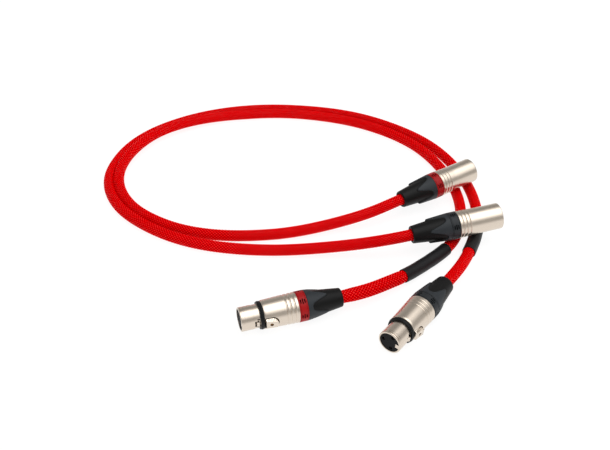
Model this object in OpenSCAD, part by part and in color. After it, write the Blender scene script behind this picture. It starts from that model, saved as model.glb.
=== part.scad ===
// Pair of balanced audio cables, each laid in one open loop on a table.
// Each cable runs from a female connector, through a heatshrink sleeve, round the loop to a
// male connector. Each connector is drawn along its own X axis: x = 0 at its mating face,
// x grows towards the cable, and Z points at its key side. Then it is laid in its place.

/* [Cable] */
// Diameter of the braided cable
cable_d = 8.2; // [7.8:0.1:8.2]
// Diameter of the braid where it bulges behind the red female boot
bulge_d = 9.2; // [8.2:0.1:9.4]
// Outer diameter of the heatshrink sleeves
sleeve_d = 9.8; // [9.2:0.1:9.8]
// Gap between the cable and the inside of a sleeve
sleeve_gap = 0.1; // [0.05:0.05:0.2]

/* [Male connector] */
// Diameter of the barrel at its open end
barrel_d = 19; // [18.6:0.1:19.4]
// Diameter of the barrel at the coding ring
barrel_rear_d = 20.1; // [19.6:0.1:20.4]
// Inside diameter of the socket that takes a female nose
socket_d = 16.3; // [16.1:0.1:16.5]
// Depth of the socket, from the rim to the inner lip
socket_depth = 13; // [12.6:0.1:13.4]
// Where the male coding ring starts
male_ring_x = 32.8; // [32:0.1:33.5]
// Where the male boot starts
male_boot_x = 39.4; // [38.8:0.1:40]
// Where the male boot ends
male_end_x = 67.5; // [66:0.5:69]

/* [Female connector] */
// Diameter of the nose that enters a male socket
nose_d = 16; // [15.8:0.1:16]
// Length of the full diameter of the nose, from the face
nose_full_x = 8.3; // [8:0.1:8.5]
// Where the rubber ring starts
rubber_x = 12.5; // [12.4:0.1:12.6]
// Where the body starts
body_x = 15; // [14.9:0.1:15.1]
// Diameter of the body behind the rubber ring
body_front_d = 19; // [18.8:0.1:19.2]
// Diameter of the body at the coding ring
body_rear_d = 20.6; // [20.4:0.1:20.8]
// Where the female coding ring starts
female_ring_x = 38.3; // [38:0.1:38.6]
// Where the female boot starts
female_boot_x = 44.3; // [44:0.1:44.6]
// Where the female boot ends
female_end_x = 69.5; // [69:0.5:71]

/* [Contacts] */
// Diameter of a contact pin
pin_d = 2.4; // [2.3:0.05:2.4]
// Radius of the circle that the contacts stand on
contact_ring_r = 4.75; // [4.7:0.05:4.8]
// How far the pins stop behind the rim
pin_tip_x = 2.5; // [2:0.1:3]

/* [Boot] */
// Diameter of the rear end of a boot
boot_end_d = 12.7; // [12.4:0.1:13]
// Depth of the scallops between the tongues, at the front of a boot
scallop_depth = 0.75; // [0.6:0.05:0.8]
// Distance from the front of a boot to its scallops
scallop_start = 3.2; // [2.8:0.1:4]

/* [Latch] */
// Height of the latch hook above the nose
hook_rise = 0.5; // [0.4:0.05:0.6]
// Height of the front of the latch button above the axis
button_front_z = 10.5; // [10.2:0.1:10.7]
// Height of the rear of the latch button above the axis
button_rear_z = 11.6; // [11.2:0.1:11.8]

/* [Hidden] */
$fn = 64;

nickel = [0.80, 0.77, 0.71];
silver = [0.86, 0.86, 0.84];
charcoal = [0.16, 0.17, 0.18];
black = [0.06, 0.06, 0.07];
ring_red = [0.62, 0.05, 0.05];
braid_red = [0.88, 0.04, 0.05];
core_grey = [0.55, 0.55, 0.57];

// Where each connector lies: middle of its mating face, heading, upward tilt, roll of its key
red_male_place = [[82.5, 89.6, 18.9], 30.3, 4, 180];
black_male_place = [[92.5, 25.4, 21.3], 14.3, 4.3, 180];
red_female_place = [[-91.3, -72.2, 10.3], 198, 0, 90];
black_female_place = [[3.4, -92.5, 10.3], 232.3, 0, 96];

// Free stretch of each cable between its boots, from the female to the male
red_free = [
    [-7.5, -44, 10.1], [10, -32, 7.8], [19, -25, 6.3], [35, -11, 5], [52, 5.5, 5],
    [61.5, 20, 4.1], [69, 41, 4.1], [72, 63, 4.1], [71, 85, 4.1], [66.5, 107, 4.1],
    [58.5, 129, 4.1], [47, 149.5, 4.1], [31.5, 167, 4.1], [13, 181.5, 4.1], [-8, 193, 4.1],
    [-31, 201, 4.1], [-55, 206, 4.1], [-79, 207.5, 4.1], [-102, 205.5, 4.2],
    [-124, 200.5, 5], [-144, 192, 6.4], [-162, 181.5, 7.2], [-179.5, 166.5, 7.3],
    [-192.5, 146, 7.2], [-200, 123, 6.8], [-201, 100, 5.9], [-194.5, 78, 4.9],
    [-182, 59, 4.3], [-166, 44.5, 4.1], [-147.5, 33.5, 4.1], [-127, 26.5, 4.1],
    [-105, 23.5, 4.1], [-83, 24, 4.1], [-61, 27, 4.4], [-40, 31.5, 5.8], [-19, 36.5, 8.6],
    [2, 43.5, 11.7]
];
black_free = [
    [57.5, -20.5, 9], [69, 2.5, 5.2], [76, 19, 5], [80.8, 35, 5], [83.3, 51, 4.9],
    [84, 72, 4.1], [81.5, 94, 4.1], [76, 116, 4.1], [67, 138, 4.1], [54, 158, 4.1],
    [37.5, 175, 4.1], [18, 190, 4.1], [-4, 202, 4.1], [-28, 210, 4.1], [-53, 214.5, 4.1],
    [-78, 216.2, 4.1], [-102, 214.5, 4.1], [-126, 209, 4.1], [-148, 200, 4.1],
    [-168, 187.5, 4.1], [-186, 171, 4.1], [-200, 149.5, 4.1], [-208, 125, 4.1],
    [-209.5, 100, 4.1], [-203, 76, 4.1], [-190, 55, 4.1], [-172, 38, 4.1], [-151, 24, 4.1],
    [-128, 14.2, 4.1], [-105, 8.9, 4.1], [-82, 6.6, 4.1], [-60, 6.2, 4.6], [-38, 5.7, 6.8],
    [-16, 5, 10.1], [6, 5.3, 13.8]
];
cable_sides = 12;

// Stations of the sleeves, counted in points along each whole route
red_sleeve = [3, 4, 5, 5.08];
black_sleeve = [2, 3, 4, 4.72];
// Stations of the red route where the braid bulges, and its diameter at the boot
bulge_from = 1;
bulge_to = 2;
bulge_start_d = 8.8;

cable_r = cable_d / 2;
slack = 0.05;

// Shells
bore_r = 7.2;
neck_r = 8;
neck_past_boot = 6;
thread_gap = 0.1;
rim_round = 0.6;
nose_round = 0.5;
groove_pitch = 2.7;
male_groove_x = 25.2;
male_groove = [1.1, 0.4];
male_taper_x = 20;
lip_r = 6.8;
lip_length = 0.8;
rim_chamfer = 0.35;
catch_x = [9, 12.3];
catch_half = 2.2;
catch_r = 8.9;
face_lip_r = 6.95;
face_lip_length = 1;
nose_rear_r = nose_d / 2 - 0.2;
female_groove_x = 30.5;
female_groove = [1.3, 0.35];
body_chamfer = 0.4;

// Key tab of a female, and the latch opening of its nose and body
key_x = [0.3, 5.3];
key_half = 1.45;
key_z = 4.3;
window_x = [8.7, 10.4, 12.2];
window_half = [2.2, 3.5];
slot_x = 14.6;
slot_end_x = 24.6;
slot_half = 4.1;
slot_floor_z = 5;

// Inserts and contacts
insert_r = bore_r - 0.1;
contact_angles = [72, 180, 288];
pin_root_r = 1.45;
pin_root_x = 13.1;
male_insert_x = 13.2;
male_insert_end_x = 22;
male_cup_x = [22.3, 27.5];
female_insert_x = 0.4;
female_insert_end_x = 31;
female_cup_x = [31.3, 36];
cup_r = 1.4;
cup_bore_r = 0.9;
cup_depth = 3;
contact_hole_r = 1.25;
contact_tube_r = 1.75;
contact_tube_x = 1.7;
contact_bore_end_x = 16;

// Latch
pivot_x = 26.5;
pivot_z = 5.5;
pivot_bore_r = 0.65;
latch_pin_r = 0.6;
latch_pin_half = 3.5;
eye_r = 1.1;
latch_half = 2;
arm_z = [5.7, 6.3];
hook_x = [9.6, 11.4];
hook_half = 1.6;
button_x = [15.6, 23.3];
button_half = [3.7, 3];
button_under_z = 7.8;
groove_x = 8;
groove_half = 2.4;
groove_floor_z = 4.1;
spring_x = 18;
spring_r = 1.15;
spring_wire_r = 0.22;
spring_z = [1.65, 5.42];
spring_turns = 4;
spring_steps = 8;
spring_sides = 6;
pocket_r = 1.7;
pocket_z = 1.4;

// Ground spring let into the nose
ground_x = [1.25, 3];
ground_pocket_x = [0.9, 3.05];
ground_half = 3.9;
ground_r = [7.55, 7.95];
ground_turn = -78;

// Clamping chuck, cable end and wires
chuck_bore_r = cable_r + 0.1;
chuck_r = insert_r;
chuck_tip_r = 5.2;
chuck_slit = 0.9;
chuck_slit_x = 5;
tail_start = 3.4;
wire_r = 0.6;
wire_ring_r = 1.9;
wire_gap = 0.2;
wire_sides = 8;
boot_bore_r = cable_r + 0.25;
boot_mouth_r = cable_r + 0.8;
boot_round = 0.7;
scallop_floor_z = 2;
scallop_sharpness = 1.6;
scallop_steps = 24;
// Tongues of each kind of boot: distance of the tips from the rear end, radius there, turn from the seam
male_tongue = [12.2, 8.85, 9];
female_tongue = [11, 8.55, 61];
chamber_past_neck = 0.4;
chamber_cone = 8;
mouth_depth = [1.2, 0.4];
male_boot_r = 10;
female_boot_r = body_rear_d / 2;
// Turn of the scallops of each boot about its axis
red_male_boot_turn = 9;
black_male_boot_turn = -12;
red_female_boot_turn = 61;
black_female_boot_turn = -4;

// Coding rings: three short slots side by side in each of six groups
ring_slot = [0.7, 2.8, 1.2];
ring_slot_pitch = 1.4;

// ---------------------------------------------------------------- shared shapes

// Solid of revolution about X from [radius, x] points
module turned(profile) {
    rotate([0, 90, 0]) rotate_extrude() polygon(profile);
}

// Straight pipe along X
module pipe(from_x, to_x, outer_r, inner_r) {
    turned([[inner_r, from_x], [outer_r, from_x], [outer_r, to_x], [inner_r, to_x]]);
}

// Box from its lowest to its highest corner
module block(low, high) {
    translate(low) cube(high - low);
}

// Soft grooves turned into a wall whose radius runs along a line
function soft_grooves(first_x, width, depth, line) = [
    for (n = [0:2]) for (k = [0:6])
        let (x = first_x + n * groove_pitch + width * (k / 6 - 0.5))
            [line_r(line, x) - depth * sin(30 * k), x]
];

// Radius at x on a line given as [x0, r0, x1, r1]
function line_r(line, x) = line[1] + (line[3] - line[1]) * (x - line[0]) / (line[2] - line[0]);

// Quarter-round edge on an outer corner, from the face at x to the wall at radius r
function round_edge(r, x, size) = [
    for (k = [0:4]) [r - size + size * sin(22.5 * k), x + size - size * cos(22.5 * k)]
];

// Point on a connector's axis, in the frame of the whole part
function heading(place) = [
    cos(place[1]) * cos(place[2]), sin(place[1]) * cos(place[2]), sin(place[2])
];
function axis_point(place, x) = place[0] - x * heading(place);

// Lays a connector in its place
module laid(place) {
    translate(place[0])
        rotate([0, 0, place[1] + 180])
            rotate([0, place[2], 0])
                rotate([place[3], 0, 0])
                    children();
}

// Places its children at the three contacts
module at_contacts() {
    for (a = contact_angles) {
        translate([0, contact_ring_r * sin(a), contact_ring_r * cos(a)]) children();
    }
}

// ---------------------------------------------------------------- both connectors

module coding_ring(from_x, to_x, r) {
    difference() {
        pipe(from_x + slack, to_x - slack, r, neck_r + thread_gap);
        for (turn = [0:60:300]) for (n = [-1:1]) {
            rotate([turn, 0, 0])
                translate([(from_x + to_x) / 2 + ring_slot_pitch * n, 0, r])
                    cube(ring_slot, center = true);
        }
    }
}

module male_coding_ring(colour) {
    color(colour) coding_ring(male_ring_x, male_boot_x, barrel_rear_d / 2);
}

module female_coding_ring(colour) {
    color(colour) coding_ring(female_ring_x, female_boot_x, body_rear_d / 2);
}

// Outline of one scallop: round at its front, and widening to the tips of the tongues beside it
module scallop(front_x, end_x, wall) {
    tip_x = wall[2];
    polygon(concat(
        [for (k = [-scallop_steps:scallop_steps])
            let (
                turn = 45 * k / scallop_steps,
                x = front_x + (tip_x - front_x) * pow((1 - cos(4 * turn)) / 2, scallop_sharpness)
            )
                [x, line_r(wall, x) * sin(turn)]],
        [[end_x, wall[3]], [end_x, -wall[3]]]
    ));
}

module boot(from_x, to_x, r, tongue, turn) {
    end_r = boot_end_d / 2;
    tip_x = to_x - tongue[0];
    wall = [from_x, r, tip_x, tongue[1]];
    color(charcoal)
    rotate([turn - tongue[2], 0, 0])
    difference() {
        union() {
            turned(concat(
                [[0, from_x + slack], [r - scallop_depth, from_x + slack]],
                [for (k = [0:4]) [
                    end_r - boot_round + boot_round * cos(22.5 * k),
                    to_x - boot_round + boot_round * sin(22.5 * k)
                ]],
                [[0, to_x]]
            ));
            difference() {
                turned([
                    [0, from_x + slack], [r, from_x + slack], [tongue[1], tip_x], [0, tip_x]
                ]);
                for (a = [0:90:270]) {
                    rotate([a + tongue[2], 0, 0])
                        translate([0, 0, scallop_floor_z])
                            linear_extrude(r)
                                scallop(from_x + scallop_start, to_x, wall);
                }
            }
        }
        boot_hollow(from_x, to_x);
    }
}

// Thread chamber, cone round the chuck, cable bore and flared mouth of a boot
module boot_hollow(from_x, to_x) {
    thread_r = neck_r + thread_gap;
    chamber_x = from_x + neck_past_boot + chamber_past_neck;
    turned([
        [0, from_x - 1], [thread_r, from_x - 1], [thread_r, chamber_x],
        [boot_bore_r, chamber_x + chamber_cone], [boot_bore_r, to_x - mouth_depth[0]],
        [boot_mouth_r, to_x - mouth_depth[1]], [boot_mouth_r, to_x + 1], [0, to_x + 1]
    ]);
}

// Slit collet that grips the cable
module chuck(boot_x) {
    from_x = boot_x - 2.5;
    cone_x = boot_x + neck_past_boot;
    to_x = cone_x + 5;
    color(black)
    difference() {
        turned([
            [chuck_bore_r, from_x], [chuck_r, from_x], [chuck_r, cone_x],
            [chuck_tip_r, to_x], [chuck_bore_r, to_x]
        ]);
        for (a = [0, 90]) {
            rotate([a, 0, 0])
                block([from_x + chuck_slit_x, -chuck_slit / 2, -chuck_r - 1],
                      [to_x + 1, chuck_slit / 2, chuck_r + 1]);
        }
    }
}

// Last stretch of the cable, gripped in the chuck and boot
module cable_tail(boot_x, to_x) {
    from_x = boot_x - tail_start;
    color(braid_red) turned([[0, from_x], [cable_r, from_x], [cable_r, to_x], [0, to_x]]);
}

// Two insulated cores and the shield wire, fanned out to the solder cups
module conductors(cup_x, boot_x) {
    end_x = boot_x - tail_start - wire_gap;
    spots = concat(
        [[cup_x[1] - cup_depth + wire_gap, contact_ring_r]],
        [for (t = [0:0.2:1]) [
            cup_x[1] + (end_x - cup_x[1]) * t,
            contact_ring_r + (wire_ring_r - contact_ring_r) * t * t * (3 - 2 * t)
        ]]
    );
    color(core_grey)
    for (a = contact_angles) {
        side = [0, sin(a), cos(a)];
        across = [0, -cos(a), sin(a)];
        skin([for (spot = spots) [for (k = [0:wire_sides - 1])
            [spot[0], 0, 0]
            + (spot[1] + wire_r * cos(360 * k / wire_sides)) * side
            + wire_r * sin(360 * k / wire_sides) * across]]);
    }
}

// Turned solder cup, closed at its front
function cup_profile(cup_x) = [
    [cup_r, cup_x[0]], [cup_r, cup_x[1]], [cup_bore_r, cup_x[1]],
    [cup_bore_r, cup_x[1] - cup_depth], [0, cup_x[1] - cup_depth]
];

// ---------------------------------------------------------------- male connector

module male_shell() {
    r = barrel_d / 2;
    rear_r = barrel_rear_d / 2;
    socket_r = socket_d / 2;
    taper = [male_taper_x, r, male_ring_x, rear_r];
    neck_end = male_boot_x + neck_past_boot;
    color(nickel)
    difference() {
        turned(concat(
            [[socket_r + rim_chamfer, 0]],
            round_edge(r, 0, rim_round),
            [[r, male_taper_x]],
            soft_grooves(male_groove_x, male_groove[0], male_groove[1], taper),
            [
                [rear_r, male_ring_x], [neck_r, male_ring_x], [neck_r, neck_end],
                [bore_r, neck_end], [bore_r, socket_depth + lip_length],
                [lip_r, socket_depth + lip_length], [lip_r, socket_depth],
                [socket_r, socket_depth], [socket_r, rim_chamfer]
            ]
        ));
        block([catch_x[0], -catch_half, lip_r], [catch_x[1], catch_half, catch_r]);
    }
}

module male_insert() {
    seat_x = socket_depth + lip_length + slack;
    color(black)
    difference() {
        turned([
            [0, male_insert_x], [lip_r - 0.1, male_insert_x], [lip_r - 0.1, seat_x],
            [insert_r, seat_x], [insert_r, male_insert_end_x], [0, male_insert_end_x]
        ]);
        at_contacts()
            rotate([0, 90, 0]) cylinder(h = male_insert_end_x + 1, r = pin_root_r + slack);
    }
}

module male_contact_pins() {
    r = pin_d / 2;
    tip = 0.8;
    color(silver)
    at_contacts()
        turned(concat(
            [for (k = [0:4]) [r * sin(22.5 * k), pin_tip_x + tip * (1 - cos(22.5 * k))]],
            [
                [r, pin_root_x], [pin_root_r, pin_root_x], [pin_root_r, male_cup_x[0]]
            ],
            cup_profile(male_cup_x)
        ));
}

// ---------------------------------------------------------------- female connector

module female_shell() {
    r = nose_d / 2;
    front_r = body_front_d / 2;
    rear_r = body_rear_d / 2;
    taper = [body_x, front_r, female_ring_x, rear_r];
    neck_end = female_boot_x + neck_past_boot;
    color(nickel)
    difference() {
        union() {
            turned(concat(
                [[face_lip_r, 0]],
                round_edge(r, 0, nose_round),
                [
                    [r, nose_full_x], [nose_rear_r, nose_full_x + 0.1], [nose_rear_r, body_x],
                    [front_r - body_chamfer, body_x], [front_r, body_x + body_chamfer]
                ],
                soft_grooves(female_groove_x, female_groove[0], female_groove[1], taper),
                [
                    [rear_r, female_ring_x], [neck_r, female_ring_x], [neck_r, neck_end],
                    [bore_r, neck_end], [bore_r, face_lip_length], [face_lip_r, face_lip_length]
                ]
            ));
            block([key_x[0], -key_half, key_z], [key_x[1], key_half, bore_r + 0.1]);
        }
        block([window_x[0], -window_half[0], slot_floor_z], [window_x[1] + slack, window_half[0], r + 1]);
        block([window_x[1], -window_half[1], slot_floor_z], [window_x[2], window_half[1], r + 1]);
        latch_slot();
        arc_strip(ground_pocket_x, ground_half + slack, [ground_r[0] - slack, nose_d]);
    }
}

// Round-ended slot that the button stands in
module latch_slot() {
    middle_x = slot_end_x - slot_half;
    translate([0, 0, slot_floor_z])
        linear_extrude(body_rear_d / 2)
            union() {
                translate([middle_x, 0]) circle(r = slot_half);
                translate([slot_x, -slot_half]) square([middle_x - slot_x, 2 * slot_half]);
            }
}

// Curved strip along the nose wall, between two radii, turned to the side of the key
module arc_strip(span_x, half, radii) {
    rotate([ground_turn, 0, 0])
        intersection() {
            pipe(span_x[0], span_x[1], radii[1], radii[0]);
            block([0, -half, 0], [span_x[1] + 1, half, nose_d]);
        }
}

module ground_spring() {
    color(silver) arc_strip(ground_x, ground_half, ground_r);
}

// Rubber ring with two soft beads
module rubber_ring() {
    inner_r = nose_rear_r + slack;
    outer_r = body_front_d / 2;
    from_x = rubber_x;
    width = body_x - slack - from_x;
    bead = 0.35;
    color(black)
    turned(concat(
        [[inner_r, from_x]],
        [for (k = [0:12])
            [outer_r - bead * abs(cos(15 * k)) * 1.5 + bead * 0.5 * pow(cos(15 * k), 2),
             from_x + width * k / 12]],
        [[inner_r, from_x + width]]
    ));
}

module female_insert() {
    step_x = face_lip_length + slack;
    color(black)
    difference() {
        turned([
            [0, female_insert_x], [face_lip_r - 0.1, female_insert_x], [face_lip_r - 0.1, step_x],
            [insert_r, step_x], [insert_r, female_insert_end_x], [0, female_insert_end_x]
        ]);
        at_contacts()
            rotate([0, 90, 0]) cylinder(h = 3, r = contact_hole_r);
        at_contacts()
            translate([contact_tube_x - slack, 0, 0])
                rotate([0, 90, 0]) cylinder(h = female_insert_end_x, r = contact_tube_r + slack);
        block([0, -key_half - slack, key_z - slack], [key_x[1] + slack, key_half + slack, nose_d]);
        block([groove_x, -groove_half, groove_floor_z],
              [female_insert_end_x + 1, groove_half, nose_d]);
        translate([spring_x, 0, pocket_z]) cylinder(h = nose_d, r = pocket_r);
        translate([pivot_x, -nose_d, pivot_z])
            rotate([-90, 0, 0]) cylinder(h = 2 * nose_d, r = pivot_bore_r);
    }
}

module contact_sockets() {
    color(silver)
    at_contacts()
        turned(concat(
            [
                [0, contact_bore_end_x], [contact_hole_r, contact_bore_end_x],
                [contact_hole_r, contact_tube_x], [contact_tube_r, contact_tube_x],
                [contact_tube_r, female_cup_x[0] - 1], [cup_r, female_cup_x[0] - 1]
            ],
            cup_profile(female_cup_x)
        ));
}

// Latch at rest: arm, hook, pivot eye and finger button in one piece
module latch() {
    hook_z = nose_d / 2 + hook_rise;
    color(nickel)
    difference() {
        union() {
            block([hook_x[0], -latch_half, arm_z[0]], [pivot_x, latch_half, arm_z[1]]);
            rotate([90, 0, 0])
                translate([0, 0, -hook_half])
                    linear_extrude(2 * hook_half)
                        polygon([
                            [hook_x[0], arm_z[0]], [hook_x[1], arm_z[0]], [hook_x[1], hook_z],
                            [hook_x[1] - 0.8, hook_z], [hook_x[0], hook_z - 1.1]
                        ]);
            translate([pivot_x, -latch_half, pivot_z])
                rotate([-90, 0, 0]) cylinder(h = 2 * latch_half, r = eye_r);
            block([button_x[0] + 0.6, -latch_half, arm_z[1] - 0.1],
                  [button_x[1] - 1, latch_half, button_under_z + 0.1]);
            button();
        }
        translate([pivot_x, -nose_d, pivot_z])
            rotate([-90, 0, 0]) cylinder(h = 2 * nose_d, r = pivot_bore_r);
    }
}

// Finger button: rounded at the rear, flanks drawn in towards the top and finely ribbed
module button() {
    wide = button_half[0];
    top = button_half[1];
    round_x = button_x[1] - wide;
    flank_z = 8.7;
    rib_pitch = 1;
    difference() {
        intersection() {
            translate([0, 0, button_under_z])
                linear_extrude(button_rear_z)
                    union() {
                        translate([round_x, 0]) circle(r = wide);
                        translate([button_x[0], -wide]) square([round_x - button_x[0], 2 * wide]);
                    }
            rotate([90, 0, 0])
                translate([0, 0, -wide - 1])
                    linear_extrude(2 * wide + 2)
                        polygon([
                            [button_x[0], button_under_z], [button_x[0], button_front_z - 0.3],
                            [button_x[0] + 0.3, button_front_z], [button_x[1] - 0.6, button_rear_z],
                            [button_x[1], button_rear_z - 0.5], [button_x[1], button_under_z]
                        ]);
            rotate([90, 0, 90])
                translate([0, 0, button_x[0] - 1])
                    linear_extrude(button_x[1])
                        polygon([
                            [-wide, button_under_z], [wide, button_under_z], [wide, flank_z],
                            [top + 0.2, button_rear_z - 0.4], [top - 0.3, button_rear_z + 1],
                            [0.3 - top, button_rear_z + 1], [-top - 0.2, button_rear_z - 0.4],
                            [-wide, flank_z]
                        ]);
        }
        for (side = [-1, 1]) for (n = [0:5]) {
            translate([button_x[0] + 1.3 + n * rib_pitch, side * wide, flank_z + 1.2])
                cube([0.35, 0.9, 3], center = true);
        }
    }
}

module latch_pin() {
    color(silver)
    translate([pivot_x, -latch_pin_half, pivot_z])
        rotate([-90, 0, 0]) cylinder(h = 2 * latch_pin_half, r = latch_pin_r);
}

// Small coil spring under the arm of the latch
module latch_spring() {
    steps = spring_turns * spring_steps;
    rise = spring_z[1] - spring_z[0];
    rings = [
        for (n = [0:steps])
            let (a = 360 * n / spring_steps, out = [cos(a), sin(a), 0])
                [for (k = [0:spring_sides - 1])
                    [spring_x, 0, spring_z[0] + rise * n / steps]
                    + (spring_r + spring_wire_r * cos(360 * k / spring_sides)) * out
                    - [0, 0, spring_wire_r * sin(360 * k / spring_sides)]]
    ];
    color(silver) skin(rings);
}

// ---------------------------------------------------------------- cables and sleeves

function unit(v) = v / norm(v);

// Whole route of a cable: out of the female boot, along the free points, into the male boot
function route(female, free, male) = concat(
    [axis_point(female, female_end_x)], free, [axis_point(male, male_end_x)]
);

// Direction of a route at one of its points, square to the boots at both ends
function direction(points, female, male, i) =
    i == 0 ? -heading(female)
    : i == len(points) - 1 ? heading(male)
    : unit(unit(points[i + 1] - points[i]) + unit(points[i] - points[i - 1]));

// Ring of points of radius r round a point of a route
function ring_at(points, female, male, i, r) =
    let (
        along = direction(points, female, male, i),
        side = unit(cross([0, 0, 1], along)),
        up = cross(along, side)
    )
    [for (k = [0:cable_sides - 1])
        points[i] + r * (cos(360 * k / cable_sides) * side + sin(360 * k / cable_sides) * up)];

// The same between two points of a route
function ring_between(points, female, male, station, r) =
    let (
        i = min(floor(station), len(points) - 2),
        part = station - i,
        a = ring_at(points, female, male, i, r),
        b = ring_at(points, female, male, i + 1, r)
    )
    [for (k = [0:cable_sides - 1]) a[k] * (1 - part) + b[k] * part];

// Triangles between ring n and ring n + 1 of a skin
function band(n, sides, base) = [
    for (k = [0:sides - 1])
        let (
            a = base + n * sides + k,
            b = base + n * sides + (k + 1) % sides
        )
        each [[a, b + sides, b], [a, a + sides, b + sides]]
];

// Closed solid through a list of rings
module skin(rings) {
    sides = len(rings[0]);
    last = (len(rings) - 1) * sides;
    polyhedron(
        points = [for (ring = rings) each ring],
        faces = concat(
            [for (n = [0:len(rings) - 2]) each band(n, sides, 0)],
            [for (k = [1:sides - 2]) [0, k, k + 1]],
            [for (k = [1:sides - 2]) [last, last + k + 1, last + k]]
        )
    );
}

// Hollow solid between an outer and an inner list of rings
module hollow_skin(outer, inner) {
    sides = len(outer[0]);
    count = len(outer);
    base = count * sides;
    last = (count - 1) * sides;
    polyhedron(
        points = [for (ring = concat(outer, inner)) each ring],
        faces = concat(
            [for (n = [0:count - 2]) each band(n, sides, 0)],
            [for (n = [0:count - 2]) for (face = band(n, sides, base)) [face[2], face[1], face[0]]],
            [for (k = [0:sides - 1]) let (j = (k + 1) % sides)
                each [[k, j, base + j], [k, base + j, base + k]]],
            [for (k = [last:last + sides - 1]) let (j = last + (k - last + 1) % sides)
                each [[k, base + j, j], [k, base + k, base + j]]]
        )
    );
}

red_route = route(red_female_place, red_free, red_male_place);
black_route = route(black_female_place, black_free, black_male_place);

function red_radius(i) =
    i == 0 ? bulge_start_d / 2
    : i >= bulge_from && i <= bulge_to ? bulge_d / 2
    : cable_r;

module red_cable() {
    color(braid_red)
    skin([for (i = [0:len(red_route) - 1])
        ring_at(red_route, red_female_place, red_male_place, i, red_radius(i))]);
}

module black_cable() {
    color(braid_red)
    skin([for (i = [0:len(black_route) - 1])
        ring_at(black_route, black_female_place, black_male_place, i, cable_r)]);
}

module sleeve(points, female, male, stations) {
    inner_r = cable_r + sleeve_gap;
    color(black)
    hollow_skin(
        [for (s = stations) ring_between(points, female, male, s, sleeve_d / 2)],
        [for (s = stations) ring_between(points, female, male, s, inner_r)]
    );
}

module red_heatshrink() {
    sleeve(red_route, red_female_place, red_male_place, red_sleeve);
}

module black_heatshrink() {
    sleeve(black_route, black_female_place, black_male_place, black_sleeve);
}

// ---------------------------------------------------------------- every piece in its place

laid(red_male_place) male_shell();  // red_male_shell
laid(red_male_place) male_insert();  // red_male_insert
laid(red_male_place) male_contact_pins();  // red_male_contact_pins
laid(red_male_place) chuck(male_boot_x);  // red_male_chuck
laid(red_male_place) male_coding_ring(ring_red);  // red_male_coding_ring
laid(red_male_place)  // red_male_boot
        boot(male_boot_x, male_end_x, male_boot_r, male_tongue, red_male_boot_turn);
laid(red_male_place) cable_tail(male_boot_x, male_end_x);  // red_male_cable_tail
laid(red_male_place) conductors(male_cup_x, male_boot_x);  // red_male_conductors

laid(red_female_place) female_shell();  // red_female_shell
laid(red_female_place) rubber_ring();  // red_female_rubber_ring
laid(red_female_place) female_insert();  // red_female_insert
laid(red_female_place) contact_sockets();  // red_female_contact_sockets
laid(red_female_place) latch();  // red_female_latch
laid(red_female_place) latch_pin();  // red_female_latch_pin
laid(red_female_place) latch_spring();  // red_female_latch_spring
laid(red_female_place) ground_spring();  // red_female_ground_spring
laid(red_female_place) chuck(female_boot_x);  // red_female_chuck
laid(red_female_place) female_coding_ring(ring_red);  // red_female_coding_ring
laid(red_female_place)  // red_female_boot
        boot(female_boot_x, female_end_x, female_boot_r, female_tongue, red_female_boot_turn);
laid(red_female_place) cable_tail(female_boot_x, female_end_x);  // red_female_cable_tail
laid(red_female_place) conductors(female_cup_x, female_boot_x);  // red_female_conductors

laid(black_male_place) male_shell();  // black_male_shell
laid(black_male_place) male_insert();  // black_male_insert
laid(black_male_place) male_contact_pins();  // black_male_contact_pins
laid(black_male_place) chuck(male_boot_x);  // black_male_chuck
laid(black_male_place) male_coding_ring(black);  // black_male_coding_ring
laid(black_male_place)  // black_male_boot
        boot(male_boot_x, male_end_x, male_boot_r, male_tongue, black_male_boot_turn);
laid(black_male_place) cable_tail(male_boot_x, male_end_x);  // black_male_cable_tail
laid(black_male_place) conductors(male_cup_x, male_boot_x);  // black_male_conductors

laid(black_female_place) female_shell();  // black_female_shell
laid(black_female_place) rubber_ring();  // black_female_rubber_ring
laid(black_female_place) female_insert();  // black_female_insert
laid(black_female_place) contact_sockets();  // black_female_contact_sockets
laid(black_female_place) latch();  // black_female_latch
laid(black_female_place) latch_pin();  // black_female_latch_pin
laid(black_female_place) latch_spring();  // black_female_latch_spring
laid(black_female_place) ground_spring();  // black_female_ground_spring
laid(black_female_place) chuck(female_boot_x);  // black_female_chuck
laid(black_female_place) female_coding_ring(black);  // black_female_coding_ring
laid(black_female_place)  // black_female_boot
        boot(female_boot_x, female_end_x, female_boot_r, female_tongue, black_female_boot_turn);
laid(black_female_place) cable_tail(female_boot_x, female_end_x);  // black_female_cable_tail
laid(black_female_place) conductors(female_cup_x, female_boot_x);  // black_female_conductors

red_cable();
black_cable();
red_heatshrink();
black_heatshrink();
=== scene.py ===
import math

import bpy
import numpy as np
from mathutils import Matrix, Vector


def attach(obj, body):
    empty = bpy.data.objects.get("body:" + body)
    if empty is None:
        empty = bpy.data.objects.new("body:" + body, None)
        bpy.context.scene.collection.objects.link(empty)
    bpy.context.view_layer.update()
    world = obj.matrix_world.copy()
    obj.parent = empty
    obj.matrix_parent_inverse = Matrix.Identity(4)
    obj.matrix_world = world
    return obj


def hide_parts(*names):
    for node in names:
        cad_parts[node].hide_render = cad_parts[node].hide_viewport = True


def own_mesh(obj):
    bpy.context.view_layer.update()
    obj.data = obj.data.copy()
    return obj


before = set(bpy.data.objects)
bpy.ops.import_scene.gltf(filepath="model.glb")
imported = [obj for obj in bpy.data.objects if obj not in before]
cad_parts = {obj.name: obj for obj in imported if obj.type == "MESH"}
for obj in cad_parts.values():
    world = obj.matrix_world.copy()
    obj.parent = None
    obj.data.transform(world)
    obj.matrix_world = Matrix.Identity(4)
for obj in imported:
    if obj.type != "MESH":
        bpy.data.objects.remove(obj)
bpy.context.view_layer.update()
MM = 0.001

# ---------------------------------------------------------------- camera

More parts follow.
